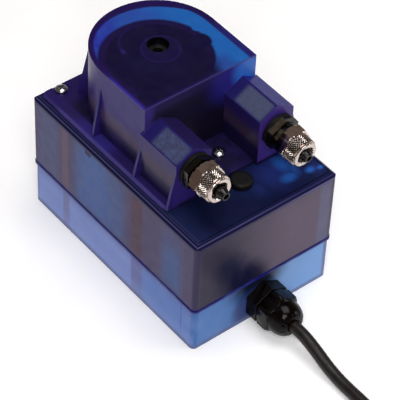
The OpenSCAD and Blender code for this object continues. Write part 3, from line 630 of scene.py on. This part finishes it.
def upper_shell_finish():
    f = Finish("smoky_blue_plastic", specular_ior_level=0.2)
    side = f.ramp(f.size(f.x), 38.6, 39.8)
    front = f.ramp(f.y, -59.6, -60.5)
    back = f.ramp(f.y, 59.6, 60.5)
    # Painted light through the side walls: bluer bands where light passes through the shell, stronger
    # lower down and strongest in the middle of the sides.
    light_stronger_below = f.ramp(f.z, 62, 44)
    shade = f.ramp(f.z, 31, 26.5, 0, 0.5)
    light_through_bands = f.most(
        f.times(f.band(f.y, -9, 28.5, 4.5), f.math("ADD", 0.75, f.times(light_stronger_below, 0.25))),
        f.times(f.band(f.y, -51, -37, 4), f.math("ADD", 0.3, f.times(light_stronger_below, 0.7))),
        f.times(f.band(f.y, 41, 57, 3), 0.45))
    deep = f.times(f.band(f.y, 4, 23, 7), side)
    side_colour = f.layers(
        srgb(54, 42, 84),
        (light_through_bands, srgb(44, 68, 124)),
        (f.times(deep, 0.7), srgb(38, 80, 148)),
        (f.times(f.band(f.y, *BACK_RIB, 0.7), 0.9), srgb(80, 58, 86)),
        (f.times(f.band(f.y, *FRONT_RIB, 0.8), 0.9), srgb(58, 20, 50)),
        (f.band(f.y, *CORNER_POST_LINE, 0.3), srgb(66, 58, 92)),
        (f.ramp(f.noise(11, 3), 0.45, 0.75, 0, 0.25), srgb(62, 50, 80)),
        (shade, srgb(58, 50, 92)))
    # Painted shade: two dark patches on the front's left part.
    patch = f.most(
        f.ramp(f.far((f.x, -12, 1.1), (f.z, 28, 1)), 17, 6),
        f.ramp(f.far((f.x, -21, 1.1), (f.z, 40, 1.3)), 12, 4))
    front_colour = f.layers(
        srgb(36, 28, 54),
        (f.ramp(f.x, -26, 16), srgb(86, 72, 94)),
        (f.band(f.x, 30.5, 37, 1.5), srgb(89, 87, 119)),
        (f.times(patch, 0.95), srgb(2, 4, 46)),
        (f.ramp(f.z, 55, 63, 0, 0.25), srgb(60, 52, 80)),
        (f.ramp(f.x, -36, -38.5, 0, 0.6), srgb(48, 42, 78)),
        (f.ramp(f.noise(9, 3), 0.45, 0.75, 0, 0.18), srgb(70, 62, 96)))
    back_colour = f.layers(
        srgb(58, 50, 88),
        (f.times(f.ramp(f.far((f.x, 4, 2), (f.z, 44, 1)), 18, 6), 0.8), srgb(34, 44, 96)),
        (f.ramp(f.noise(9, 3), 0.45, 0.75, 0, 0.3), srgb(46, 66, 120)))
    corner = f.times(f.ramp(f.size(f.x), 36.6, 38), f.ramp(f.size(f.y), 57.7, 59.4))
    colour = f.layers(
        side_colour,
        (front, front_colour),
        (back, back_colour),
        (f.times(corner, 0.8), srgb(42, 36, 70)),
        (f.ramp(f.z, 26.6, 26), srgb(22, 20, 96)))
    f.set("Base Color", colour)
    f.moulded()
    return f.material


def base_shell_finish():
    f = Finish("clear_blue_plastic", specular_ior_level=0.2)
    side = f.ramp(f.size(f.x), 38.2, 39.4)
    front = f.ramp(f.y, -59.2, -60.2)
    back = f.ramp(f.y, 59.2, 60.2)
    side_colour = f.layers(
        srgb(110, 130, 193),
        (f.ramp(f.y, -14, -24), srgb(80, 114, 183)),
        (f.times(f.band(f.y, *BACK_RIB, 0.6), 0.85), srgb(103, 104, 152)),
        (f.times(f.band(f.y, *FRONT_RIB, 0.6), 0.85), srgb(94, 95, 151)),
        (f.band(f.y, *CORNER_POST_LINE, 0.3), srgb(64, 92, 160)))
    front_colour = f.layers(
        srgb(72, 118, 184),
        (f.ramp(f.x, -8, 14), srgb(113, 157, 216)),
        # Painted shadow round the gland: near black above it, darker blue round it and along the bottom
        # edge.
        (f.times(f.ramp(f.far((f.x, -3.5, 1.35), (f.z, 24, 1)), 16, 5), 0.98), srgb(2, 2, 28)),
        (f.ramp(f.far((f.x, -4, 1.15), (f.z, 8, 1)), 14, 8, 0, 0.85), srgb(28, 46, 112)),
        (f.ramp(f.far((f.x, 2, 1.6), (f.z, 2, 0.7)), 12, 7, 0, 0.4), srgb(30, 50, 120)))
    back_colour = f.layers(
        srgb(84, 122, 188),
        (f.ramp(f.noise(12, 3), 0.4, 0.7, 0, 0.5), srgb(66, 96, 170)),
        (f.ramp(f.z, 18, 24, 0, 0.4), srgb(70, 80, 140)))
    bottom = f.ramp(f.z, 3.2, 1.6)
    edge = f.most(bottom, f.times(front, f.ramp(f.x, 35.5, 37)))
    corner = f.times(f.ramp(f.size(f.x), 36, 38), f.ramp(f.size(f.y), 57, 59))
    colour = f.layers(
        side_colour,
        (front, front_colour),
        (back, back_colour),
        (f.times(corner, 0.75), srgb(58, 98, 165)),
        (f.times(side, f.ramp(f.z, 17, 23.5, 0, 0.4)), srgb(70, 80, 140)),
        (f.times(side, f.ramp(f.z, 12, 4, 0, 0.4)), srgb(130, 152, 210)),
        (f.times(edge, 0.8), srgb(92, 100, 142)),
        (f.ramp(f.z, 24.1, 24.5), srgb(20, 20, 108)),
        (f.ramp(f.noise(10, 3), 0.45, 0.75, 0, 0.16), srgb(140, 158, 205)))
    f.set("Base Color", colour)
    f.moulded(0.29, 0.38)
    return f.material


def lid_finish():
    f = Finish("navy_plastic", specular_ior_level=0.12)
    top = f.ramp(f.z, 64.15, 64.35)
    slope = f.times(top, f.ramp(f.nz, 0.97, 0.85))
    in_x = f.math("SUBTRACT", HALF_WIDTH, f.size(f.x))       # distance in from the lid's sides and ends
    in_y = f.math("SUBTRACT", HALF_LENGTH, f.size(f.y))
    # Painted highlight: a thin light line along the top edge, about 1 mm in from the sides and ends.
    line = f.most(f.times(f.band(in_x, 0.9, 1.25, 0.12), f.ramp(in_y, 0.7, 1)),
                  f.times(f.band(in_y, 0.9, 1.25, 0.12), f.ramp(in_x, 0.7, 1)))
    # Painted light glowing through the lid near its right front corner, with a fainter painted halo round
    # it.
    glow = f.most(
        f.spot(23.5, -42, 3, 3, 1, 1.5),
        f.spot(20.6, -50.2, 2.4, 2, 1.5, 1),
        f.spot(25.5, -47, 1.4, 2, 1, 2),
        f.spot(31, -52, 1.4, 1.6, 1.3, 1),
        f.spot(36, -53.5, 0.8, 1.2, 1.5, 1))
    glow_halo = f.most(
        f.spot(20, -44, 8, 9),
        f.times(f.spot(5.5, -48, 1, 5, 1, 1.5), 0.5),
        f.times(f.spot(34, -52, 3, 6), 0.6))
    edge = f.most(f.ramp(f.size(f.x), 37, 39), f.ramp(f.size(f.y), 58, 60))
    flat = f.layers(
        srgb(13, 17, 50),
        (f.ramp(f.noise(14, 3), 0.4, 0.7, 0, 0.5), srgb(17, 30, 66)),
        (f.ramp(f.x, -22, -33, 0, 0.6), srgb(30, 38, 76)),
        (f.ramp(f.x, -35.6, -36.6), srgb(41, 43, 80)),
        (f.times(glow_halo, 0.9), srgb(42, 56, 130)),
        (f.times(glow, 0.95), srgb(44, 102, 196)),
        (f.times(edge, 0.5), srgb(24, 26, 66)),
        (slope, srgb(15, 14, 50)),
        (f.times(line, 0.65), f.mix(f.ramp(f.x, -20, 30), srgb(84, 82, 128), srgb(46, 50, 116))))
    rim = f.layers(
        srgb(46, 44, 76),
        (f.ramp(f.x, -10, 34), srgb(82, 84, 134)),
        (f.ramp(f.z, 63.5, 63.1), srgb(30, 28, 72)))
    f.set("Base Color", f.mix(top, rim, flat))
    f.moulded(0.29, 0.35)
    return f.material


def roof_colour(f, plan, inside_hub):
    """Painted view through the roof: the rotor and its hose bed in painted shade, painted light in the gap
    beside them, and the thick rim; also a painted highlight arc, a painted highlight line along the front
    edge and painted shade in the hub's hole. plan is 31 on the head's outline."""
    disc_and_lobe = f.most(f.spot(-5.8, 12.9, 26.2, 0.9), f.spot(16, 10.6, 5.8, 0.7))
    bed = f.math("SUBTRACT", disc_and_lobe, f.spot(20.6, 18.6, 1.7, 0.9))
    slanted = f.math("SUBTRACT", f.x, f.times(f.y, 0.35))
    front_dark = f.times(f.ramp(f.y, 6, -3), f.ramp(slanted, 19, 11.5))
    covered = f.most(bed, front_dark)
    bed_rim = f.times(f.band(f.far((f.x, -5.8, 1), (f.y, 12.9, 1)), 22.6, 25.4, 0.9), f.ramp(f.y, -6, 8))
    # Painted highlight: a faint light arc on the left of the hub.
    highlight_arc_ring = f.band(f.far((f.x, -4, 1), (f.y, 24, 1)), 11.1, 12, 0.6)
    groove = f.times(highlight_arc_ring, f.ramp(f.x, 2, -8), f.ramp(f.y, 20, 27))
    hub = f.far((f.x, -0.8, 1), (f.y, 16.6, 1))
    # Painted light in the gap beside the rotor.
    blue = f.layers(
        srgb(36, 42, 146),
        (f.ramp(f.x, -18, 2), srgb(36, 70, 152)),
        (f.ramp(f.x, 4, 20), srgb(23, 88, 164)),
        (f.times(f.ramp(f.x, 24, 17), f.ramp(f.y, 4, -8), 0.6), srgb(34, 44, 120)),
        (f.ramp(f.noise(6, 2), 0.4, 0.7, 0, 0.2), srgb(40, 104, 180)))
    dark = f.layers(
        srgb(9, 3, 43),
        (f.ramp(f.noise(12, 3), 0.35, 0.7, 0, 0.6), srgb(13, 8, 52)),
        (f.times(bed_rim, 0.6), srgb(26, 10, 68)),
        (f.spot(16.6, 10.4, 4.4, 1.5), srgb(8, 4, 50)),
        (f.ramp(hub, 9.2, 8.4, 0, 0.6), srgb(18, 9, 60)),
        (f.times(f.band(hub, 8.4, 9.3, 0.6), 0.4), srgb(34, 26, 88)),
        (f.times(groove, 0.35), srgb(34, 28, 96)),
        # painted highlight: a small light streak left of the hub
        (f.times(f.spot(-15.4, 25, 0.9, 0.9, 1, 1.6), 0.4), srgb(48, 42, 128)))
    thicker = f.most(
        f.times(f.ramp(f.y, 24, 40), f.ramp(f.x, -22, 8), 2.4),
        f.times(f.ramp(f.x, 14, 22), 0.9))
    rim_start = f.math("SUBTRACT", 28.6, thicker)
    rim = f.ramp(f.math("SUBTRACT", plan, rim_start), -0.7, 0.5)
    rim_colour = f.layers(
        srgb(26, 8, 72),
        (f.times(f.ramp(f.x, 18, 27), f.ramp(f.y, 22, 6)), srgb(29, 26, 98)),
        (f.times(f.ramp(f.x, -29.3, -30.3), f.ramp(f.y, 20, 8)), srgb(46, 36, 132)))
    return f.layers(
        f.mix(covered, blue, dark),
        (rim, rim_colour),
        # A violet strip near the front edge, then a painted highlight line along the front edge.
        (f.times(f.ramp(f.y, -9.4, -10.6), f.ramp(f.x, 16, 8), 0.6), srgb(34, 22, 92)),
        (f.times(f.ramp(f.y, -10.6, -11.1), 0.6), srgb(64, 58, 112)),
        # painted shade: the hub's hole near black
        (inside_hub, srgb(4, 3, 8)))


def pump_head_finish():
    f = Finish("violet_plastic", specular_ior_level=0.2)
    behind = f.math("MAXIMUM", f.math("SUBTRACT", f.y, ROTOR_Y), 0.0)
    plan = f.far((f.x, 0, 1), (behind, 0, 1))            # 31 on the head's outline
    inside_hub = f.ramp(f.far((f.x, 0, 1), (f.y, ROTOR_Y, 1)), HUB_HOLE_R + 0.3, HUB_HOLE_R + 0.1)
    # Inside the hub's hole the roof's colours reach down to z 90, so its walls take the painted shade.
    roof = f.most(f.ramp(f.z, 104.3, 104.8), f.times(inside_hub, f.ramp(f.z, 90, 91)))
    wall = f.layers(
        srgb(22, 15, 52),
        (f.ramp(f.z, 75, 79), srgb(62, 46, 74)),
        (f.ramp(f.z, 80, 88), srgb(36, 20, 98)),
        (f.ramp(f.noise(12, 3), 0.4, 0.7, 0, 0.25), srgb(48, 36, 110)),
        (f.ramp(f.z, 68.8, 68.1, 0, 0.8), srgb(50, 42, 120)))
    front = f.times(f.ramp(f.y, -10.9, -11.3), f.ramp(f.y, -12.4, -11.8))
    # Painted light glowing through the front face at its upper right, with a violet halo round it.
    glow = f.ramp(f.far((f.x, 26, 1), (f.z, 99, 1)), 11, 4)
    violet = f.ramp(f.far((f.x, 20, 1.2), (f.z, 97, 1)), 17, 6)
    front_colour = f.layers(
        srgb(24, 18, 45),
        (f.ramp(f.z, 97, 103), srgb(35, 28, 72)),
        (f.ramp(f.z, 90, 78, 0, 0.6), srgb(20, 14, 32)),
        (f.ramp(f.x, -24, -28.5), srgb(50, 39, 106)),
        (f.times(violet, 0.9), srgb(40, 34, 128)),
        (glow, srgb(44, 100, 190)),
        (f.times(f.ramp(f.x, 22, 27), f.ramp(f.z, 90, 84)), srgb(62, 72, 118)))
    socket = f.ramp(f.y, -11.6, -12.2)
    across = f.math("SUBTRACT", f.size(f.x), SOCKET_X)       # outwards from a socket's middle
    tilted = f.times(f.ramp(f.nz, 0.3, 0.5), f.ramp(f.nz, 0.95, 0.85), f.ramp(f.z, 90.5, 91.5))
    slope = f.times(tilted, f.ramp(f.nx, -0.3, -0.5))
    middle = f.math("SUBTRACT", f.x, f.math("MULTIPLY", f.math("SIGN", f.x), SOCKET_X))
    inset = f.times(f.band(middle, -9.1, -0.9, 0.7), f.band(f.y, -35.4, -18, 1.6))
    speckle = f.ramp(f.noise(0.45, 3), 0.35, 0.65)
    frost = f.layers(
        srgb(38, 35, 66),
        (f.ramp(f.noise(3, 4), 0.3, 0.7, 0.2, 0.9), srgb(56, 68, 106)),
        (f.times(f.ramp(f.x, 0, 10), 0.8), srgb(64, 71, 98)),
        (f.times(speckle, 0.4), srgb(86, 92, 122)))
    slope_colour = f.layers(srgb(26, 20, 84), (inset, frost))
    right_slope = f.times(tilted, f.ramp(f.nx, 0.3, 0.5))
    end_face = f.ramp(f.ny, -0.8, -0.95)
    side_face = f.layers(
        srgb(24, 17, 56),
        (f.ramp(f.z, 75, 79), srgb(58, 44, 70)),
        (f.ramp(f.z, 80, 88), srgb(38, 28, 88)))
    socket_colour = f.layers(
        srgb(30, 22, 76),
        (f.ramp(f.nx, -0.6, -0.9), side_face),
        (right_slope, srgb(32, 22, 70)),
        (f.times(right_slope, f.ramp(f.x, 0, 4)), srgb(14, 18, 112)),
        (end_face, srgb(44, 32, 104)),
        (f.times(end_face, f.ramp(f.x, 0, 4)), srgb(62, 44, 124)),
        (slope, slope_colour))
    flange = f.ramp(f.z, 68.3, 67.9)
    flange_colour = f.layers(
        srgb(22, 17, 48),
        (f.ramp(f.noise(7, 3), 0.4, 0.7, 0, 0.6), srgb(34, 26, 78)),
        (f.ramp(f.x, -29.5, -32), srgb(38, 28, 84)),
        (f.times(f.ramp(f.x, -30, -32), f.band(f.y, 8, 33, 5)), srgb(48, 40, 118)),
        # painted highlight: a thin light line along the flange's left edge
        (f.times(f.ramp(f.x, -35.4, -36.4), 0.8), srgb(76, 66, 136)),
        (f.times(f.ramp(f.y, 40, 48), 0.7), srgb(34, 20, 86)))
    gusset = f.times(f.ramp(plan, 31.2, 31.8), f.ramp(f.z, 68, 68.6), f.math("SUBTRACT", 1.0, socket))
    colour = f.layers(
        wall,
        (front, front_colour),
        (gusset, srgb(38, 28, 96)),
        (socket, socket_colour),
        (f.times(f.ramp(across, 10.2, 11.2), f.ramp(f.z, 90, 89), socket), srgb(38, 28, 96)),
        (flange, flange_colour),
        (roof, roof_colour(f, plan, inside_hub)))
    f.set("Base Color", colour)
    rough = f.times(slope, inset)
    f.set("Roughness", f.math("ADD", f.ramp(f.noise(5, 4), 0.3, 0.7, 0.29, 0.38), f.times(rough, 0.25)))
    f.bump(f.math("ADD", f.times(f.noise(4, 1), 0.3), f.times(rough, speckle, 0.5)), 0.1)
    return f.material


def plastic(name, colour, low, high, grain=0.5, depth=0.02, shade=0.8, **values):
    """A plain moulded plastic or rubber: mottled colour, fine grain, patchy gloss."""
    f = Finish(name, **values)
    dark = [c * shade for c in colour[:3]] + [1]
    f.set("Base Color", f.mix(f.ramp(f.noise(4, 4), 0.3, 0.7), colour, dark))
    f.set("Roughness", f.ramp(f.noise(2.5, 4), 0.3, 0.7, low, high))
    f.bump(f.noise(grain, 2), depth)
    return f.material


def metal(name, colour, low, high, worn=(0.6, 0.55, 0.5), scratch=(1, 1, 12)):
    """Plated or bare metal with fine drag marks and a faint stain."""
    f = Finish(name, metallic=1.0)
    stain = f.ramp(f.noise(2.2, 4), 0.45, 0.75, 0, 0.5)
    tinted = [a * b for a, b in zip(colour, worn)] + [1]
    f.set("Base Color", f.mix(stain, colour, tinted))
    marks = f.noise(0.25, 3, scratch)
    f.set("Roughness", f.ramp(marks, 0.3, 0.7, low, high))
    f.bump(marks, 0.006)
    return f.material


def plated_nickel():
    """Warm bright plating, with painted shade between the knurl's ridges and painted brown shade on the
    hexagon's flats that face left.
    """
    f = Finish("nickel", metallic=1.0)
    groove = f.add("Attribute", attribute_name="groove").outputs["Fac"]
    plate = f.mix(f.ramp(f.noise(2.2, 4), 0.45, 0.75, 0, 0.5), srgb(206, 194, 188), srgb(140, 122, 110))
    # Painted shade: brown on the hexagon's flats facing left and not up; it turns with the nut.
    side = f.times(f.ramp(f.nx, -0.3, -0.6), f.ramp(f.nz, 0.8, 0.6), f.ramp(f.y, -48.5, -47.5))
    plate = f.mix(side, plate, srgb(112, 90, 78))
    # Painted shade: the knurl's grooves near black.
    f.set("Base Color", f.mix(f.ramp(groove, 0.2, 0.5), plate, srgb(4, 3, 3)))
    marks = f.noise(0.25, 3, (1, 1, 12))
    f.set("Roughness", f.math("ADD", f.ramp(marks, 0.3, 0.7, 0.1, 0.16), f.times(groove, 0.1)))
    f.bump(marks, 0.003)
    return f.material


def fitting_finish():
    """Black plastic. The right fitting's upper left flats carry a painted brown sheen."""
    f = Finish("fitting_plastic", specular_ior_level=0.3)
    flats = f.times(f.ramp(f.nx, -0.3, -0.6), f.ramp(f.nz, 0.1, 0.35))
    hexagon_of_right = f.times(f.ramp(f.y, -46, -44), f.ramp(f.x, 0, 5))
    # Painted reflection: brown on the right fitting's upper left flats.
    sheen = f.times(flats, hexagon_of_right, f.ramp(f.noise(3, 2), 0.3, 0.6, 0.5, 1))
    f.set("Base Color", f.mix(sheen, srgb(8, 6, 5), srgb(66, 57, 47)))
    f.set("Roughness", f.ramp(f.noise(2.5, 4), 0.3, 0.7, 0.16, 0.26))
    f.bump(f.noise(2, 2), 0.01)
    return f.material


def copper_winding():
    f = Finish("copper_winding", metallic=0.7)
    wires = f.math("SINE", f.math("MULTIPLY", f.z, 9.0))
    f.set("Base Color", f.mix(f.ramp(wires, -1, 1), srgb(110, 48, 20), srgb(205, 120, 60)))
    f.set("Roughness", f.ramp(f.noise(1, 2), 0.3, 0.7, 0.28, 0.4))
    f.bump(wires, 0.08)
    return f.material


def board_laminate():
    f = Finish("board_laminate")
    wander = f.times(f.ramp(f.noise(9, 0), 0.35, 0.65), 9.0)
    tracks = f.math("SINE", f.math("ADD", f.math("MULTIPLY", f.x, 1.9), wander))
    f.set("Base Color", f.mix(f.ramp(tracks, 0.3, 0.6), srgb(20, 78, 40), srgb(48, 120, 62)))
    f.set("Roughness", f.ramp(f.noise(2, 3), 0.3, 0.7, 0.3, 0.45))
    f.bump(f.ramp(tracks, 0.3, 0.6), 0.03)
    return f.material


def laminated_steel():
    f = Finish("laminated_steel", metallic=0.8)
    sheets = f.math("SINE", f.math("MULTIPLY", f.z, 12.6))
    f.set("Base Color", f.mix(f.ramp(sheets, -0.6, 0.2), srgb(48, 46, 46), srgb(120, 116, 112)))
    f.set("Roughness", f.ramp(f.noise(2, 3), 0.3, 0.7, 0.35, 0.55))
    f.bump(sheets, 0.03)
    return f.material


def woven_strap():
    f = Finish("woven_strap")
    warp = f.math("SINE", f.math("MULTIPLY", f.z, 9.0))
    weft = f.math("SINE", f.math("MULTIPLY", f.math("ADD", f.x, f.y), 9.0))
    weave = f.times(warp, weft)
    f.set("Base Color", f.mix(f.ramp(weave, -0.5, 0.5), srgb(30, 30, 32), srgb(62, 62, 66)))
    f.set("Roughness", f.ramp(f.noise(1, 2), 0.3, 0.7, 0.75, 0.95))
    f.bump(weave, 0.08)
    return f.material


def earth_core():
    f = Finish("earth_core")
    stripes = f.math("SINE", f.math("MULTIPLY", f.math("ADD", f.x, f.times(f.y, 2.2)), 1.6))
    f.set("Base Color", f.mix(f.ramp(stripes, -0.1, 0.1), srgb(58, 128, 48), srgb(214, 196, 40)))
    f.set("Roughness", f.ramp(f.noise(1, 2), 0.3, 0.7, 0.35, 0.5))
    f.bump(f.noise(0.4, 2), 0.01)
    return f.material


def cord_finish():
    """Black sheath with the faint long waves of its twisted cores."""
    f = Finish("cord_sheath", specular_ior_level=0.3)
    f.set("Base Color", f.mix(f.ramp(f.noise(3, 4), 0.3, 0.7), srgb(16, 11, 10), srgb(26, 19, 17)))
    f.set("Roughness", f.ramp(f.noise(2, 3), 0.3, 0.7, 0.36, 0.5))
    f.bump(f.math("ADD", f.noise(5, 1), f.times(f.noise(0.6, 2), 0.15)), 0.12)
    return f.material


def floor_finish():
    f = Finish("floor_card")
    f.set("Base Color", f.mix(f.ramp(f.noise(30, 3), 0.3, 0.7), srgb(250, 250, 250), srgb(246, 246, 247)))
    f.set("Roughness", f.ramp(f.noise(2, 3), 0.3, 0.7, 0.8, 0.95))
    f.shader.inputs["Emission Color"].default_value = (1, 1, 1, 1)
    f.shader.inputs["Emission Strength"].default_value = 0.18
    return f.material


def paint(piece, material):
    data = nodes[piece].data if isinstance(piece, str) else piece.data
    data.materials.clear()
    data.materials.append(material)


# ---- Making ----

make_camera()
cord = make_cord()
cores = make_cores()
tie = make_coil_tie()
floor = make_studio()
nuts = [make_nut(side) for side in PORTS]
cap = make_gland_cap()
plug = make_plug()

black_gloss = plastic("black_gloss_plastic", srgb(6, 2, 2), 0.14, 0.2, 2, 0.02, specular_ior_level=0.12)
rubber = plastic("seal_rubber", srgb(9, 8, 8), 0.5, 0.7, 0.4, 0.02, specular_ior_level=0.2)
nickel = plated_nickel()
zinc = metal("zinc_screw", srgb(158, 160, 164), 0.16, 0.26)
steel = metal("steel", srgb(170, 172, 176), 0.28, 0.4)
brass = metal("brass", srgb(212, 176, 90), 0.28, 0.4)
nylon = plastic("gear_plastic", srgb(226, 220, 200), 0.35, 0.5)
FINISHES = {
    upper_shell_finish(): ["upper_shell"],
    base_shell_finish(): ["base_shell"],
    lid_finish(): ["lid"],
    pump_head_finish(): ["pump_head"],
    zinc: ["head_screws", "case_screws", "board_screws", "gearbox_screws"],
    plastic("rotor_plastic", srgb(16, 15, 18), 0.3, 0.45): ["rotor_carrier", "rotor_cap"],
    steel: ["roller_pins", "idler_axle", "motor_shaft", "motor_can"],
    brass: ["motor_pinion"],
    metal("oiled_shaft", srgb(26, 23, 11), 0.3, 0.45): ["output_shaft"],
    plastic("roller_plastic", srgb(232, 230, 220), 0.3, 0.45):
        ["roller_a", "roller_b", "roller_c", "trimmer_spindle"],
    plastic("hose_rubber", srgb(205, 208, 205), 0.35, 0.5): ["hose"],
    black_gloss: ["gland_body"],
    fitting_finish(): ["hose_fitting_left", "hose_fitting_right"],
    rubber: ["seal_ring_left", "seal_ring_right", "gland_seal"],
    nylon: ["output_gear", "idler_gear"],
    metal("zinc_casting", srgb(176, 176, 172), 0.4, 0.55): ["gearbox_case", "gearbox_cover"],
    plastic("ferrite", srgb(50, 50, 54), 0.5, 0.7): ["motor_magnets"],
    plastic("black_plastic", srgb(24, 24, 26), 0.35, 0.5): ["motor_end_cap"],
    laminated_steel(): ["transformer"],
    copper_winding(): ["armature", "commutator"],
    board_laminate(): ["circuit_board"],
    plastic("blue_housing_plastic", srgb(30, 74, 150), 0.3, 0.45): ["relay", "trimmer_body"],
    plastic("capacitor_sleeve", srgb(24, 28, 66), 0.28, 0.4): ["capacitor"],
    plastic("green_plastic", srgb(40, 120, 62), 0.35, 0.5): ["terminal_block"],
    plastic("lead_sheath", srgb(30, 27, 26), 0.4, 0.55): ["inner_lead"],
    metal("ferrule_metal", srgb(205, 207, 212), 0.28, 0.38): ["core_ferrules"],
}
for material, names in FINISHES.items():
    for name in names:
        paint(name, material)

for nut in nuts:
    paint(nut, nickel)
paint(cap, black_gloss)
paint(plug, rubber)
paint(cord, cord_finish())
paint(tie, woven_strap())
paint(floor, floor_finish())
paint(cores[0], plastic("brown_core", srgb(*CORE_COLOURS["brown"]), 0.35, 0.5))
paint(cores[1], earth_core())
paint(cores[2], plastic("blue_core", srgb(*CORE_COLOURS["blue"]), 0.35, 0.5))

for piece in [cord, tie, *cores]:
    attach(piece, "housing")
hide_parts("cord_lead", "cord_coil")
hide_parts("cord_cores")

for name in ("base_shell", "upper_shell", "lid", "pump_head"):
    round_edges(name, 0.35)
for name in ("hose_fitting_left", "hose_fitting_right", "gland_body", "seal_ring_left", "seal_ring_right"):
    round_edges(name, 0.2)
for name in ("head_screws", "case_screws"):
    round_edges(name, 0.12)

scene.view_settings.view_transform = "Standard"
